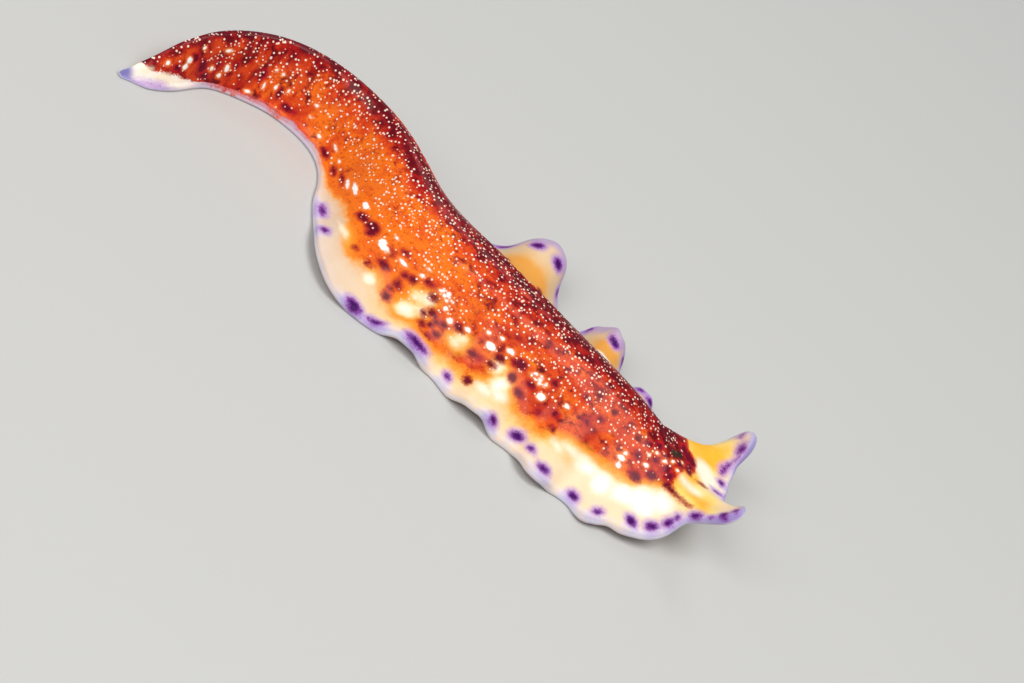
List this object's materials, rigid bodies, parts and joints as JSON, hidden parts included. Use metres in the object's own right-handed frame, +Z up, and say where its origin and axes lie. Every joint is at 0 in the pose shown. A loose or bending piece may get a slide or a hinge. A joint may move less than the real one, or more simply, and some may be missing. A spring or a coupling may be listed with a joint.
{
  "type": "pseudoceros flatworm",
  "caption": "Marine flatworm as a still, life-size model: an arched body with a ruffled margin that rests on the floor, folded tentacles raised at the head, and a narrow tail bent to one side.",
  "frame": {"origin": "centre of the bounding box's base, on the floor that the worm rests on", "axes": "+X towards the head, +Y to the worm's left, +Z up"},
  "size_m": [0.0472, 0.017, 0.0059],
  "materials": {
    "skin": "wet, soft and slightly translucent skin: orange and maroon with white dots, cream towards a pale lavender margin with purple spots"
  },
  "bodies": {
    "root": {"head": "skin", "pseudotentacle_right": "skin", "pseudotentacle_left": "skin", "trunk_front": "skin", "trunk_middle": "skin", "trunk_rear": "skin", "margin_right_front": "skin", "margin_right_middle": "skin", "margin_right_rear": "skin", "margin_left_front": "skin", "margin_left_middle": "skin", "margin_left_rear": "skin", "tail_base": "skin", "tail_middle": "skin", "tail_tip": "skin"}
  },
  "joints": []
}
